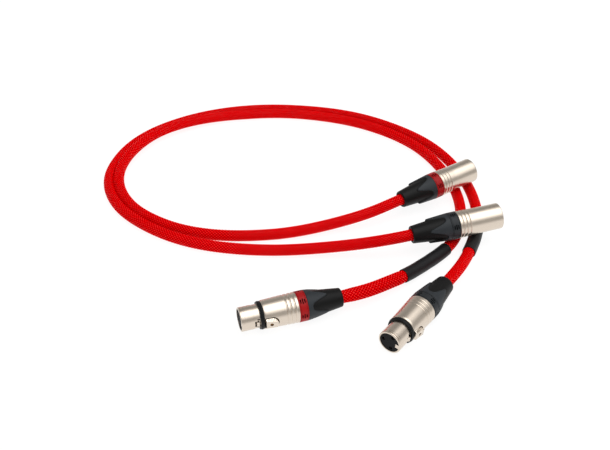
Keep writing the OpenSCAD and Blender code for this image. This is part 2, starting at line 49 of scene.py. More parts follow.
camera_data = bpy.data.cameras.new("camera")
camera_data.lens = 46.9
camera_data.clip_start = 0.01
camera = bpy.data.objects.new("camera", camera_data)
camera.location = (-0.049, -0.442, 0.367)
camera.rotation_euler = (math.radians(52.83), 0, 0)
bpy.context.scene.collection.objects.link(camera)
bpy.context.scene.camera = camera
bpy.context.scene.view_settings.view_transform = "Standard"

# ---------------------------------------------------------------- where everything lies, in mm

# Middle of the mating face, heading, upward tilt and roll of the key of each connector
PLACES = {
    "red_male": ((82.5, 89.6, 18.9), 30.3, 4, 180),
    "black_male": ((92.5, 25.4, 21.3), 14.3, 4.3, 180),
    "red_female": ((-91.3, -72.2, 10.3), 198, 0, 90),
    "black_female": ((3.4, -92.5, 10.3), 232.3, 0, 96),
}
MALE_RING, MALE_BOOT, MALE_END = 32.8, 39.4, 67.5
FEMALE_RING, FEMALE_BOOT, FEMALE_END = 38.3, 44.3, 69.5
TAIL = 3.4  # how far the cable goes past the front of a boot
CABLE_R = 4.1

RED_FREE = [
    (-7.5, -44, 10.1), (10, -32, 7.8), (19, -25, 6.3), (35, -11, 5), (52, 5.5, 5),
    (61.5, 20, 4.1), (69, 41, 4.1), (72, 63, 4.1), (71, 85, 4.1), (66.5, 107, 4.1),
    (58.5, 129, 4.1), (47, 149.5, 4.1), (31.5, 167, 4.1), (13, 181.5, 4.1), (-8, 193, 4.1),
    (-31, 201, 4.1), (-55, 206, 4.1), (-79, 207.5, 4.1), (-102, 205.5, 4.2),
    (-124, 200.5, 5), (-144, 192, 6.4), (-162, 181.5, 7.2), (-179.5, 166.5, 7.3),
    (-192.5, 146, 7.2), (-200, 123, 6.8), (-201.1, 100, 5.9), (-194.6, 77.9, 4.9),
    (-182.1, 58.9, 4.3), (-166, 44.5, 4.1), (-147.5, 33.5, 4.1), (-127, 26.5, 4.1),
    (-105, 23.5, 4.1), (-83, 24, 4.1), (-61, 27, 4.4), (-40, 31.5, 5.8), (-19, 36.5, 8.6),
    (2, 43.5, 11.7),
]
BLACK_FREE = [
    (57.5, -20.5, 9), (69, 2.5, 5.2), (76, 19, 5), (80.8, 35, 5), (83.3, 51, 4.9),
    (84, 72, 4.1), (81.5, 94, 4.1), (76, 116, 4.1), (67, 138, 4.1), (54, 158, 4.1),
    (37.5, 175, 4.1), (18, 190, 4.1), (-4, 202, 4.1), (-28, 210, 4.1), (-53, 214.5, 4.1),
    (-78, 216.2, 4.1), (-102, 214.5, 4.1), (-126, 209, 4.1), (-148, 200, 4.1),
    (-168, 187.5, 4.1), (-186, 171, 4.1), (-200, 149.5, 4.1), (-207.8, 125, 4.1),
    (-209.3, 100, 4.1), (-202.8, 76.1, 4.1), (-189.9, 55.1, 4.1), (-172, 38, 4.1), (-151, 24, 4.1),
    (-128, 14.2, 4.1), (-105, 8.9, 4.1), (-82, 6.6, 4.1), (-60, 6.2, 4.6), (-38, 5.7, 6.8),
    (-16, 5, 10.1), (6, 5.3, 13.8),
]


def heading(place):
    azimuth, tilt = math.radians(place[1]), math.radians(place[2])
    return np.array([
        math.cos(azimuth) * math.cos(tilt), math.sin(azimuth) * math.cos(tilt), math.sin(tilt),
    ])


def on_axis(place, x):
    return np.array(place[0]) - x * heading(place)


def laid(place):
    return (
        Matrix.Translation(Vector(place[0]) * MM)
        @ Matrix.Rotation(math.radians(place[1] + 180), 4, "Z")
        @ Matrix.Rotation(math.radians(place[2]), 4, "Y")
        @ Matrix.Rotation(math.radians(place[3]), 4, "X")
    )


# ---------------------------------------------------------------- materials


def new_finish(name):
    material = bpy.data.materials.new(name)
    material.use_nodes = True
    shader = material.node_tree.nodes["Principled BSDF"]
    return material, material.node_tree, shader


def add(tree, kind, sockets=None, **settings):
    node = tree.nodes.new(kind)
    for key, value in settings.items():
        setattr(node, key, value)
    for key, value in (sockets or {}).items():
        if isinstance(value, bpy.types.NodeSocket):
            tree.links.new(value, node.inputs[key])
        else:
            node.inputs[key].default_value = value
    return node


def own_place(tree, attribute):
    """Where a point is on its piece: a stored place, or Object coordinates on a CAD node."""
    if attribute:
        return add(tree, "ShaderNodeAttribute", attribute_name=attribute).outputs["Vector"]
    return add(tree, "ShaderNodeTexCoord").outputs["Object"]


def noise(tree, place, scale, detail):
    return add(tree, "ShaderNodeTexNoise", {
        "Vector": place, "Scale": scale, "Detail": detail, "Roughness": 0.5,
    }).outputs["Fac"]


def spread(tree, value, low, high, from_low=0.0, from_high=1.0):
    return add(tree, "ShaderNodeMapRange", {
        "Value": value, "From Min": from_low, "From Max": from_high, "To Min": low, "To Max": high,
    }).outputs["Result"]


def blend_colours(tree, factor, first, second):
    node = add(tree, "ShaderNodeMix", data_type="RGBA")
    for socket, value in ((node.inputs[0], factor), (node.inputs[6], first), (node.inputs[7], second)):
        if isinstance(value, bpy.types.NodeSocket):
            tree.links.new(value, socket)
        elif socket.type == "RGBA":
            socket.default_value = (*value, 1)
        else:
            socket.default_value = value
    return node.outputs[2]


def bumped(tree, height, strength, distance):
    return add(tree, "ShaderNodeBump", {
        "Height": height, "Strength": strength, "Distance": distance,
    }).outputs["Normal"]


def metal(name, colour, rough, place=None):
    material, tree, shader = new_finish(name)
    where = own_place(tree, place)
    cloud = noise(tree, where, 160, 2)
    colour_out = blend_colours(tree, cloud, [c * 0.97 for c in colour], colour)
    tree.links.new(colour_out, shader.inputs["Base Color"])
    tree.links.new(spread(tree, cloud, rough - 0.015, rough + 0.015, 0.3, 0.7), shader.inputs["Roughness"])
    shader.inputs["Metallic"].default_value = 1
    return material


def paint_hollow_shade(material, hollow):
    """Blends the colour of a finish into another where a piece has marked hollows: painted shade in the
    hollows.
    """
    tree = material.node_tree
    shader = tree.nodes["Principled BSDF"]
    deep = add(tree, "ShaderNodeAttribute", attribute_name="deep").outputs["Fac"]
    surface = shader.inputs["Base Color"].links[0].from_socket
    tree.links.new(blend_colours(tree, deep, surface, hollow), shader.inputs["Base Color"])
    return tree, shader, deep


def nickel_with_hollow_shade(name, colour, rough, hollow):
    """Nickel painted darker and brown in its marked hollows, as painted shade."""
    material = metal(name, colour, rough, "own")
    paint_hollow_shade(material, hollow)
    return material


def plastic(name, dark, light, rough, place=None, grain_size=3500, grain_depth=0.00002, gloss=0.3):
    material, tree, shader = new_finish(name)
    shader.inputs["Specular IOR Level"].default_value = gloss
    where = own_place(tree, place)
    cloud = noise(tree, where, 220, 3)
    tree.links.new(blend_colours(tree, cloud, dark, light), shader.inputs["Base Color"])
    tree.links.new(spread(tree, cloud, rough - 0.05, rough + 0.05, 0.3, 0.7), shader.inputs["Roughness"])
    fine = noise(tree, where, grain_size, 2)
    tree.links.new(bumped(tree, fine, 0.3, grain_depth), shader.inputs["Normal"])
    return material


def ring_plastic(name, dark, light, hollow):
    """Moulded ring whose slots and grooves fall into shadow."""
    material = plastic(name, dark, light, 0.42, "own", gloss=0.24)
    tree, shader, deep = paint_hollow_shade(material, hollow)
    # Reflection is turned down where the hollows are painted in shade.
    tree.links.new(spread(tree, deep, 0.24, 0.0), shader.inputs["Specular IOR Level"])
    return material


def boot_rubber():
    """Charcoal moulded tongues with blacker, smoother panels between them."""
    material, tree, shader = new_finish("charcoal_boot")
    where = own_place(tree, "own")
    panel = add(tree, "ShaderNodeAttribute", attribute_name="panel").outputs["Fac"]
    cloud = noise(tree, where, 180, 3)
    tongue = blend_colours(tree, cloud, (0.016, 0.020, 0.025), (0.022, 0.027, 0.032))
    hollow = blend_colours(tree, cloud, (0.004, 0.004, 0.004), (0.007, 0.007, 0.007))
    tree.links.new(blend_colours(tree, panel, tongue, hollow), shader.inputs["Base Color"])
    tree.links.new(spread(tree, panel, 0.52, 0.42), shader.inputs["Roughness"])
    fine = noise(tree, where, 3800, 2)
    tree.links.new(bumped(tree, fine, 0.35, 0.00002), shader.inputs["Normal"])
    tree.links.new(spread(tree, panel, 0.32, 0.15), shader.inputs["Specular IOR Level"])
    return material


def braid_yarn():
    """Bright yarn whose filaments run along each strand; the strands are painted darker where they dive
    under and at their edges, as painted shade.
    """
    material, tree, shader = new_finish("red_braid")
    thread = add(tree, "ShaderNodeUVMap", uv_map="yarn").outputs["UV"]
    lift = add(tree, "ShaderNodeAttribute", attribute_name="lift").outputs["Fac"]
    shade = add(tree, "ShaderNodeAttribute", attribute_name="shade").outputs["Fac"]
    across = add(tree, "ShaderNodeSeparateXYZ", {"Vector": thread}).outputs["Y"]
    filament = add(tree, "ShaderNodeMath", {
        0: add(tree, "ShaderNodeMath", {0: across, 1: 44.0}, operation="MULTIPLY").outputs[0],
    }, operation="SINE").outputs[0]
    # Painted shade: dark red where the strands dive under, bright red on their crowns.
    open_to_light = spread(tree, lift, 0.0, 1.0, 0.05, 0.75)
    deep = blend_colours(tree, open_to_light, (0.06, 0.0, 0.0), (1.0, 0.0, 0.001))
    toned = blend_colours(tree, shade, deep, (1.0, 0.0005, 0.002))
    lined = blend_colours(tree, spread(tree, filament, 0.0, 0.12, -1, 1), toned, (0.45, 0.0, 0.001))
    tree.links.new(lined, shader.inputs["Base Color"])
    tree.links.new(bumped(tree, filament, 0.35, 0.00003), shader.inputs["Normal"])
    shader.inputs["Roughness"].default_value = 0.30
    # Reflection is kept to the crowns and turned down in the painted shade.
    tree.links.new(spread(tree, lift, 0.0, 0.75, 0.8, 1.0), shader.inputs["Specular IOR Level"])
    return material


satin_nickel = metal("satin_nickel", (0.71, 0.62, 0.525), 0.29, "own")
# The last colour is the painted shade in the latch's dimple.
latch_nickel = nickel_with_hollow_shade("latch_nickel", (0.72, 0.635, 0.54), 0.24, (0.16, 0.08, 0.03))
strip_nickel = metal("strip_nickel", (0.71, 0.62, 0.525), 0.27)
silver_contact = metal("silver_contact", (0.84, 0.78, 0.70), 0.22)
spring_steel = metal("spring_steel", (0.62, 0.61, 0.59), 0.25)
black_plastic = plastic("black_plastic", (0.013, 0.013, 0.014), (0.020, 0.020, 0.021), 0.6, gloss=0.06)
black_rubber = plastic("black_rubber", (0.003, 0.004, 0.004), (0.006, 0.007, 0.008), 0.50, "own", gloss=0.2)
# The last colour of each ring is the painted shade in its slots and grooves.
red_ring_plastic = ring_plastic(
    "red_ring_plastic", (0.34, 0.001, 0.002), (0.43, 0.001, 0.003), (0.01, 0.0, 0.0))
black_ring_plastic = ring_plastic(
    "black_ring_plastic", (0.017, 0.020, 0.023), (0.023, 0.027, 0.031), (0.001, 0.001, 0.001))
core_insulation = plastic("core_insulation", (0.28, 0.28, 0.30), (0.42, 0.42, 0.44), 0.5)
heatshrink = plastic(
    "black_heatshrink", (0.006, 0.006, 0.007), (0.012, 0.012, 0.013), 0.48,
    grain_size=2200, grain_depth=0.00004, gloss=0.22)
charcoal_boot = boot_rubber()
red_braid = braid_yarn()
under_braid = plastic("under_braid", (0.12, 0.0, 0.002), (0.20, 0.0, 0.003), 0.7)

# ---------------------------------------------------------------- cords: route, braid and sleeves


def spline_through(points, start, end):
    """Smooth line through points, leaving along start and arriving along end, every quarter mm."""
    p = np.array(points, float)
    t = np.concatenate([[0], np.cumsum(np.linalg.norm(np.diff(p, axis=0), axis=1))])
    h = np.diff(t)
    n = len(p)
    a = np.zeros((n, n))
    b = np.zeros((n, 3))
    a[0, 0], a[0, 1] = 2 * h[0], h[0]
    b[0] = 6 * ((p[1] - p[0]) / h[0] - start)
    a[-1, -1], a[-1, -2] = 2 * h[-1], h[-1]
    b[-1] = 6 * (end - (p[-1] - p[-2]) / h[-1])
    for i in range(1, n - 1):
        a[i, i - 1], a[i, i], a[i, i + 1] = h[i - 1], 2 * (h[i - 1] + h[i]), h[i]
        b[i] = 6 * ((p[i + 1] - p[i]) / h[i] - (p[i] - p[i - 1]) / h[i - 1])
    m = np.linalg.solve(a, b)
    out = []
    for i in range(n - 1):
        u = np.arange(0, h[i], 0.25)[:, None]
        v = h[i] - u
        out.append(
            (m[i] * v**3 + m[i + 1] * u**3) / (6 * h[i])
            + (p[i] / h[i] - m[i] * h[i] / 6) * v
            + (p[i + 1] / h[i] - m[i + 1] * h[i] / 6) * u
        )
    return np.vstack([*out, p[-1:]])


def evenly(points, step):
    s = np.concatenate([[0], np.cumsum(np.linalg.norm(np.diff(points, axis=0), axis=1))])
    even = np.linspace(0, s[-1], int(s[-1] / step) + 1)
    return even, np.column_stack([np.interp(even, s, points[:, k]) for k in range(3)])


def untwisted_frames(points):
    """Side and up at each point, turning no more than the line does."""
    forward = np.gradient(points, axis=0)
    forward /= np.linalg.norm(forward, axis=1)[:, None]
    side = np.zeros_like(forward)
    side[0] = np.cross((0, 0, 1), forward[0])
    side[0] /= np.linalg.norm(side[0])
    for i in range(1, len(points)):
        s = side[i - 1] - forward[i] * side[i - 1].dot(forward[i])
        side[i] = s / np.linalg.norm(s)
    return side, np.cross(forward, side)


class Route:
    """A cable from the inner end of its tail in the female boot to the one in the male boot."""

    def __init__(self, female, free, male):
        first, last = on_axis(female, FEMALE_END), on_axis(male, MALE_END)
        knots = [first, *[np.array(p, float) for p in free], last]
        middle = spline_through(knots, -heading(female), heading(male))
        middle[:, 2] = np.maximum(middle[:, 2], CABLE_R + 0.08)
        back, front = FEMALE_END - FEMALE_BOOT + TAIL, MALE_END - MALE_BOOT + TAIL
        start = [first + heading(female) * d for d in np.arange(back, 0, -0.25)]
        end = [last + heading(male) * d for d in np.arange(0.25, front + 0.01, 0.25)]
        self.s, self.points = evenly(np.vstack([start, middle, end]), 0.5)
        self.back = back
        self.side, self.up = untwisted_frames(self.points)
        nearest = [np.linalg.norm(self.points - p, axis=1).argmin() for p in knots]
        self.stations = self.s[nearest]
        self.bulge = None

    def station(self, value):
        return float(np.interp(value, np.arange(len(self.stations)), self.stations))

    def radius(self, s):
        if self.bulge is None:
            return np.full_like(s, CABLE_R)
        return np.interp(s, self.bulge[0], self.bulge[1])

    def at(self, s):
        return [
            np.column_stack([np.interp(s, self.s, table[:, k]) for k in range(3)])
            for table in (self.points, self.side, self.up)
        ]


def piece_from(name, points, quads):
    mesh = bpy.data.meshes.new(name)
    mesh.from_pydata(points.tolist(), [], quads)
    mesh.update()
    piece = bpy.data.objects.new(name, mesh)
    bpy.context.scene.collection.objects.link(piece)
    mesh.polygons.foreach_set("use_smooth", np.ones(len(mesh.polygons), bool))
    return piece


def swept(name, route, s, radii, sides):
    """Closed tube of rings: radii has one radius for each s."""
    angle = np.arange(sides) * 2 * math.pi / sides
    centre, side, up = route.at(np.asarray(s))
    ring = (
        centre[:, None, :]
        + np.asarray(radii)[:, None, None]
        * (np.cos(angle)[None, :, None] * side[:, None, :] + np.sin(angle)[None, :, None] * up[:, None, :])
    )
    count = len(s)
    quads = [
        (n * sides + k, n * sides + (k + 1) % sides, (n + 1) * sides + (k + 1) % sides, (n + 1) * sides + k)
        for n in range(count - 1) for k in range(sides)
    ]
    quads.append(tuple(range(sides))[::-1])
    quads.append(tuple((count - 1) * sides + k for k in range(sides)))
    return piece_from(name, ring.reshape(-1, 3) * MM, quads)


CARRIERS = 24  # ribbons of each hand
PITCH = 57.6  # length in which a ribbon goes once round the cable
CROSSING = PITCH / (2 * CARRIERS)
RIBBON_R, RIBBON_SWING = 4.06, 0.19  # middle radius of the ribbons, and how far they rise and dive
EDGE_DROP = 0.24  # how far the edges of a ribbon lie below its middle
SLEEVE_R, SLEEVE_BORE_R = 4.88, 4.3


def woven(name, route, hand, seed):
    """One hand of a braid: ribbons that pass over two and under two of the other hand."""
    random = np.random.default_rng(seed)
    count = int(route.s[-1] / CROSSING)
    half = np.arange(count) + 0.5
    slant = math.atan2(2 * math.pi * CABLE_R, PITCH)
    across = np.array([-1.0, -0.42, 0.42, 1.0])
    crown = np.array([-EDGE_DROP, 0.0, 0.0, -EDGE_DROP])
    every_point, quads, lifts, shades, uvs = [], [], [], [], []
    for strand in range(CARRIERS):
        phase = 2 * strand + half if hand > 0 else 2 * strand - half - 2
        rise = np.cos(2 * math.pi * (phase - 0.5) / 4)
        s = half * CROSSING
        turn = 2 * math.pi * strand / CARRIERS + hand * 2 * math.pi * s / PITCH
        width = 0.5 * (0.93 + 0.10 * rise)
        off = across[None, :] * width[:, None]
        s_each = np.clip(s[:, None] - hand * off * math.sin(slant), 0, route.s[-1])
        turn_each = turn[:, None] + off * math.cos(slant) / CABLE_R
        scale = route.radius(s_each.ravel()).reshape(s_each.shape) / CABLE_R
        r = scale * (RIBBON_R + RIBBON_SWING * rise[:, None] + crown[None, :])
        centre, side, up = route.at(s_each.ravel())
        spoke = np.cos(turn_each).ravel()[:, None] * side + np.sin(turn_each).ravel()[:, None] * up
        base = strand * count * 4
        every_point.append(centre + r.ravel()[:, None] * spoke)
        for n in range(count - 1):
            for k in range(3):
                a = base + n * 4 + k
                quads.append((a, a + 1, a + 5, a + 4))
        # lift: how high each point lies, lower still at a ribbon's edges; it sets the yarn's painted shade.
        lifts.append(((0.5 + 0.5 * rise[:, None]) ** 1.3 * np.array([0.45, 1, 1, 0.45])[None, :]).ravel())
        shades.append(np.full(count * 4, random.uniform(0, 0.25)))
        uvs.append(np.column_stack([s_each.ravel(), np.tile((across + 1) / 2, count) + strand]))
    piece = piece_from(name, np.vstack(every_point) * MM, quads)
    mesh = piece.data
    for attribute, values in (("lift", lifts), ("shade", shades)):
        mesh.attributes.new(attribute, "FLOAT", "POINT").data.foreach_set(
            "value", np.concatenate(values).astype(np.float32))
    corners = np.zeros(len(mesh.loops), np.int32)
    mesh.loops.foreach_get("vertex_index", corners)
    layer = mesh.uv_layers.new(name="yarn")
    layer.data.foreach_set("uv", (np.vstack(uvs)[corners] * (0.001, 1)).astype(np.float32).ravel())
    mesh.materials.append(red_braid)
    return piece


def sleeve(name, route, first, last, seed):
    """Shrunk tube: slightly lumpy from the braid under it, with crisp cut ends."""
    random = np.random.default_rng(seed)
    span = np.concatenate([[first, first + 0.05, first + 0.3], np.arange(first + 1, last - 0.6, 0.8),
                           [last - 0.3, last - 0.05, last]])
    wave = np.interp(span, np.linspace(first, last, 14), random.uniform(-0.05, 0.03, 14))
    outer = SLEEVE_R + wave
    outer[[0, -1]] -= 0.16
    outer[[1, -2]] -= 0.06
    s = np.concatenate([span, span[::-1]])
    radii = np.concatenate([outer, np.full(len(span), SLEEVE_BORE_R)])
    sides = 48
    angle = np.arange(sides) * 2 * math.pi / sides
    centre, side, up = route.at(s)
    ring = centre[:, None, :] + radii[:, None, None] * (
        np.cos(angle)[None, :, None] * side[:, None, :] + np.sin(angle)[None, :, None] * up[:, None, :])
    count = len(s)
    quads = [
        (n * sides + k, n * sides + (k + 1) % sides,
         ((n + 1) % count) * sides + (k + 1) % sides, ((n + 1) % count) * sides + k)
        for n in range(count) for k in range(sides)
    ]
    piece = piece_from(name, ring.reshape(-1, 3) * MM, quads)
    piece.data.materials.append(heatshrink)
    return piece


def lay_cable(colour, route, sleeve_span, seed):
    female, male = PLACES[colour + "_female"], PLACES[colour + "_male"]
    s = np.arange(0, route.s[-1], 2.5)
    core = swept(colour + "_cable_core", route, s, 0.87 * route.radius(s), 20)
    core.data.materials.append(under_braid)
    rising = woven(colour + "_braid_right", route, 1, seed)
    falling = woven(colour + "_braid_left", route, -1, seed + 1)
    ends = [route.station(v) for v in sleeve_span]
    tube = sleeve(colour + "_shrink_sleeve", route, *ends, seed + 2)
    for piece in (core, rising, falling, tube):
        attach(piece, "root")
    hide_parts(colour + "_cable")
    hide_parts(colour + "_female_cable_tail")
    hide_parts(colour + "_male_cable_tail")
    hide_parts(colour + "_heatshrink")


red_route = Route(PLACES["red_female"], RED_FREE, PLACES["red_male"])
bulge_end = red_route.station(3)
red_route.bulge = (
    [red_route.back + 1, red_route.back + 8, bulge_end - 3.5, bulge_end - 0.3],
    [4.2, 4.6, 4.55, 4.1],
)
black_route = Route(PLACES["black_female"], BLACK_FREE, PLACES["black_male"])
lay_cable("red", red_route, (3, 5.08), 11)
lay_cable("black", black_route, (2, 4.72), 21)

# ---------------------------------------------------------------- modelling by hand


def clear_selection():
    if bpy.context.object and bpy.context.object.mode != "OBJECT":
        bpy.ops.object.mode_set(mode="OBJECT")
    bpy.ops.object.select_all(action="DESELECT")


def drawn_line(name, points):
    """Starts a piece as a line of edges through points, and leaves it in edit mode, all selected."""
    clear_selection()
    bpy.ops.mesh.primitive_plane_add(size=MM, location=(0, 0, 0), enter_editmode=True)
    piece = bpy.context.object
    piece.name = piece.data.name = name
    bpy.ops.mesh.merge(type="CENTER")
    bpy.ops.transform.translate(value=[c * MM for c in points[0]])
    for a, b in zip(points, points[1:]):
        bpy.ops.mesh.extrude_region_move(
            TRANSFORM_OT_translate={"value": [(q - p) * MM for p, q in zip(a, b)]})
    bpy.ops.mesh.select_all(action="SELECT")
    return piece


def weld():
    bpy.ops.mesh.remove_doubles(threshold=0.000001)


def close_up():
    """Turns all faces outwards and leaves edit mode."""
    bpy.ops.mesh.normals_make_consistent(inside=False)
    bpy.ops.object.mode_set(mode="OBJECT")


def turned(name, profile, steps=128):
    """Spins a profile of (radius, x) points, joined end to end, round X."""
    points = [(x, 0, r) for r, x in profile]
    piece = drawn_line(name, [*points, points[0]])
    bpy.ops.mesh.spin(steps=steps, angle=2 * math.pi, center=(0, 0, 0), axis=(1, 0, 0))
    bpy.ops.mesh.select_all(action="SELECT")
    weld()
    close_up()
    return piece


def prism(name, outline, step):
    """Closed outline of points, filled and extruded by one step."""
    piece = drawn_line(name, [*outline, outline[0]])
    weld()
    bpy.ops.mesh.edge_face_add()
    bpy.ops.mesh.extrude_region_move(TRANSFORM_OT_translate={"value": [c * MM for c in step]})
    bpy.ops.mesh.select_all(action="SELECT")
    close_up()
    return piece


def block(name, low, high):
    outline = [
        (low[0], low[1], low[2]), (high[0], low[1], low[2]),
        (high[0], high[1], low[2]), (low[0], high[1], low[2]),
    ]
    return prism(name, outline, (0, 0, high[2] - low[2]))


def rod(name, radius, length, centre, turn):
    clear_selection()
    bpy.ops.mesh.primitive_cylinder_add(
        vertices=32, radius=radius * MM, depth=length * MM,
        location=[c * MM for c in centre], rotation=turn)
    piece = bpy.context.object
    piece.name = piece.data.name = name
    bpy.ops.object.transform_apply(location=True, rotation=True, scale=True)
    return piece


def turn_about_x(piece, degrees):
    piece.data.transform(Matrix.Rotation(math.radians(degrees), 4, "X"))


def apply_modifier(piece, modifier):
    clear_selection()
    piece.select_set(True)
    bpy.context.view_layer.objects.active = piece
    bpy.ops.object.modifier_apply(modifier=modifier.name)


def fit(piece, tool, operation):
    """Cuts tool out of piece, or joins it on."""
    modifier = piece.modifiers.new("fit", "BOOLEAN")
    modifier.operation = operation
    modifier.solver = "EXACT"
    modifier.object = tool
    apply_modifier(piece, modifier)
    bpy.data.objects.remove(tool)


def joined(name, parts):
    clear_selection()
    for part in parts:
        part.select_set(True)
    bpy.context.view_layer.objects.active = parts[0]
    bpy.ops.object.join()
    parts[0].name = parts[0].data.name = name
    return parts[0]


def soften(piece, width):
    """Rounds the sharp edges of a piece."""
    modifier = piece.modifiers.new("edges", "BEVEL")
    modifier.width = width * MM
    modifier.segments = 2
    modifier.limit_method = "ANGLE"
    modifier.angle_limit = math.radians(32)
    modifier.harden_normals = False
    apply_modifier(piece, modifier)


def smooth(piece, angle=28):
    clear_selection()
    piece.select_set(True)
    bpy.context.view_layer.objects.active = piece
    bpy.ops.object.shade_smooth_by_angle(angle=math.radians(angle))


def keep_own_place(piece):
    """Stores where each point is on the piece, before it is laid in its place."""
    mesh = piece.data
    co = np.zeros(len(mesh.vertices) * 3, np.float32)
    mesh.vertices.foreach_get("co", co)
    mesh.attributes.new("own", "FLOAT_VECTOR", "POINT").data.foreach_set("vector", co)


def lay(pattern, name, place, body, node, material, turn=0):
    """Copies a finished pattern, with its own mesh, to where it lies."""
    piece = pattern.copy()
    piece.data = pattern.data.copy()
    piece.name = piece.data.name = name
    bpy.context.scene.collection.objects.link(piece)
    turn_about_x(piece, turn)
    piece.data.transform(laid(place))
    piece.data.materials.clear()
    piece.data.materials.append(material)
    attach(piece, body)
    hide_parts(node)
    return piece


def line_r(line, x):
    return line[1] + (line[3] - line[1]) * (x - line[0]) / (line[2] - line[0])


def along(line, from_x, to_x):
    """Points every 1.5 mm or less along a straight wall, so that its shading stays even."""
    count = math.ceil((to_x - from_x) / 1.5)
    stations = [from_x + (to_x - from_x) * k / count for k in range(count + 1)]
    return [(line_r(line, x), x) for x in stations]


def soft_grooves(first_x, width, depth, line):
    points = []
    for n in range(3):
        for k in range(9):
            x = first_x + n * GROOVE_PITCH + width * (k / 8 - 0.5)
            points.append((line_r(line, x) - depth * math.sin(math.radians(22.5 * k)), x))
    return points


def round_edge(r, x, size):
    return [
        (r - size + size * math.sin(math.radians(15 * k)), x + size - size * math.cos(math.radians(15 * k)))
        for k in range(7)
    ]


def shade_hollows(piece, depth):
    """Stores how deep each point lies in a hollow, from 0 to 1, as depth tells from its place in mm."""
    values = [float(depth(*(c / MM for c in v.co))) for v in piece.data.vertices]
    piece.data.attributes.new("deep", "FLOAT", "POINT").data.foreach_set("value", values)


# ---------------------------------------------------------------- shells

BORE, NECK = 7.2, 8.0
NECK_BORE = 8.1  # of the rings and boots, over the neck
SOCKET_R, SOCKET_DEPTH = 8.15, 13
GROOVE_PITCH = 2.7
SLOT_START, SLOT_END, SLOT_HALF = 14.6, 24.3, 4.1


def male_shell():
    taper = (20, 9.5, MALE_RING, 10.05)
    neck_end = MALE_BOOT + 6
    shell = turned("male_shell", [
        (8.5, 0), (8.75, 0), *round_edge(9.5, 0, 0.6), *along((0, 9.5, 20, 9.5), 2, 20),
        *along(taper, 21, 24.2), *soft_grooves(25.2, 1.1, 0.4, taper),
        (10.0, MALE_RING - 0.18), (9.9, MALE_RING), (NECK, MALE_RING), (NECK, neck_end),
        (BORE, neck_end), (BORE, 13.8), (6.8, 13.8), (6.8, SOCKET_DEPTH), (SOCKET_R, SOCKET_DEPTH),
        (SOCKET_R, 0.35),
    ], 256)
    fit(shell, block("catch", (9, -2.2, 6.8), (12.3, 2.2, 8.9)), "DIFFERENCE")
    smooth(shell)
    keep_own_place(shell)
    return shell


def slot_outline(start, end, half, z):
    middle = end - half
    arc = [
        (middle + half * math.sin(math.radians(a)), -half * math.cos(math.radians(a)), z)
        for a in range(0, 181, 10)
    ]
    return [(start, -half, z), *arc, (start, half, z)]


def ground_pocket(low_x, high_x, inner, outer, half):
    """Curved strip cutter beside the key, as a rectangle spun through part of a turn."""
    angle = 2 * math.asin(half / 7.9)
    piece = drawn_line("ground_pocket", [
        (low_x, 0, inner), (high_x, 0, inner), (high_x, 0, outer), (low_x, 0, outer), (low_x, 0, inner),
    ])
    weld()
    bpy.ops.mesh.edge_face_add()
    bpy.ops.mesh.spin(steps=24, angle=angle, center=(0, 0, 0), axis=(1, 0, 0))
    bpy.ops.mesh.select_all(action="SELECT")
    weld()
    close_up()
    co = [v.co for v in piece.data.vertices]
    middle = math.degrees(math.atan2(sum(c.y for c in co), sum(c.z for c in co)))
    turn_about_x(piece, middle - 78)
    return piece


def female_shell():
    taper = (15, 9.5, FEMALE_RING, 10.3)
    neck_end = FEMALE_BOOT + 6
    shell = turned("female_shell", [
        (6.95, 0), (7.3, 0), *round_edge(8, 0, 0.5), *along((0, 8, 9, 8), 1.5, 8.3),
        *along((0, 7.8, 20, 7.8), 8.4, 15), (9.1, 15), (9.25, 15.06), (9.4, 15.2),
        *along(taper, 15.45, 29.2), *soft_grooves(30.5, 1.3, 0.35, taper),
        (10.25, FEMALE_RING - 0.18), (10.15, FEMALE_RING), (NECK, FEMALE_RING), (NECK, neck_end),
        (BORE, neck_end), (BORE, 1), (6.95, 1),
    ], 256)
    fit(shell, block("key", (0.3, -1.45, 4.3), (5.3, 1.45, 7.3)), "UNION")
    fit(shell, block("window", (8.7, -2.2, 5), (10.45, 2.2, 9)), "DIFFERENCE")
    fit(shell, block("window", (10.4, -3.5, 5), (12.2, 3.5, 9)), "DIFFERENCE")
    fit(shell, prism("slot", slot_outline(SLOT_START, SLOT_END, SLOT_HALF, 5), (0, 0, 8)), "DIFFERENCE")
    fit(shell, ground_pocket(0.9, 3.05, 7.5, 9, 3.95), "DIFFERENCE")
    smooth(shell)
    keep_own_place(shell)
    return shell


def coding_ring(name, from_x, to_x, r):
    """Ring with a thin groove by each edge and six groups of three short slots round it."""
    a, b = from_x + 0.05, to_x - 0.05
    grooves = []
    for middle in (a + 0.75, b - 0.75):
        grooves += [
            (r, middle - 0.18), (r - 0.17, middle - 0.08), (r - 0.17, middle + 0.08), (r, middle + 0.18),
        ]
    ring = turned(name, [
        (NECK_BORE, a), (r - 0.2, a), (r - 0.05, a + 0.06), (r, a + 0.2), *grooves, (r, b - 0.2),
        (r - 0.05, b - 0.06), (r - 0.2, b), (NECK_BORE, b),
    ])
    slots = []
    middle = (from_x + to_x) / 2
    for turn in range(0, 360, 60):
        for offset, reach in ((-1.4, 1.4), (0, 1.9), (1.4, 1.4)):
            x = middle + offset
            one = block("slot", (x - 0.4, -reach, r - 0.8), (x + 0.4, reach, r + 1))
            turn_about_x(one, turn)
            slots.append(one)
    fit(ring, joined("slots", slots), "DIFFERENCE")
    smooth(ring)
    # Slots and grooves are marked as hollows, for painted shade.
    shade_hollows(ring, lambda x, y, z: min(1, max(0, (r - 0.06 - math.hypot(y, z)) * 2.2)))
    keep_own_place(ring)
    return ring


# ---------------------------------------------------------------- boots


SCALLOP_DEPTH, SCALLOP_START, BOOT_R = 0.75, 3.2, 6.35


